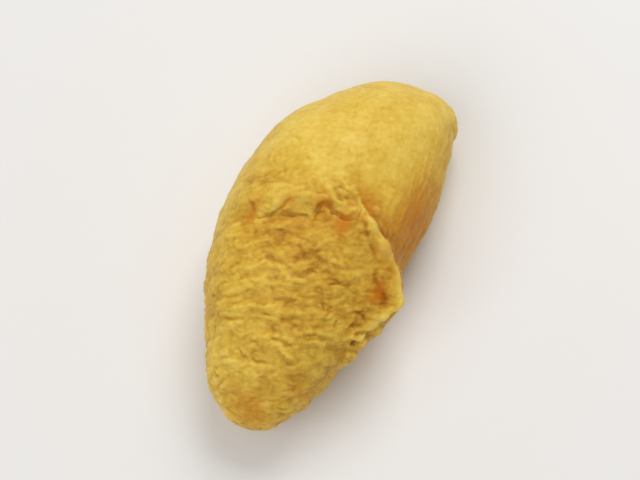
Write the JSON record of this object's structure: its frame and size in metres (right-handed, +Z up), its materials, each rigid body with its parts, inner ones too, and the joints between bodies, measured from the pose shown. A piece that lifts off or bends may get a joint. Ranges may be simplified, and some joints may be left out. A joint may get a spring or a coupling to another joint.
{
  "type": "inari sushi",
  "caption": "Three-cornered pouch of simmered fried tofu packed with rice, lying on its folded mouth, with its peak slumped over one side in a lip, a seam and an ear.",
  "frame": {"origin": "on the table, under the middle of the piece", "axes": "+Y along the piece to its smooth blunt end, +X to the side with the ear, +Z up"},
  "size_m": [0.0474, 0.087, 0.0359],
  "materials": {
    "tofu_skin": "crinkled golden skin of simmered fried tofu, moist with a soft sheen"
  },
  "bodies": {
    "root": {"tofu_pouch": "tofu_skin"}
  },
  "joints": []
}
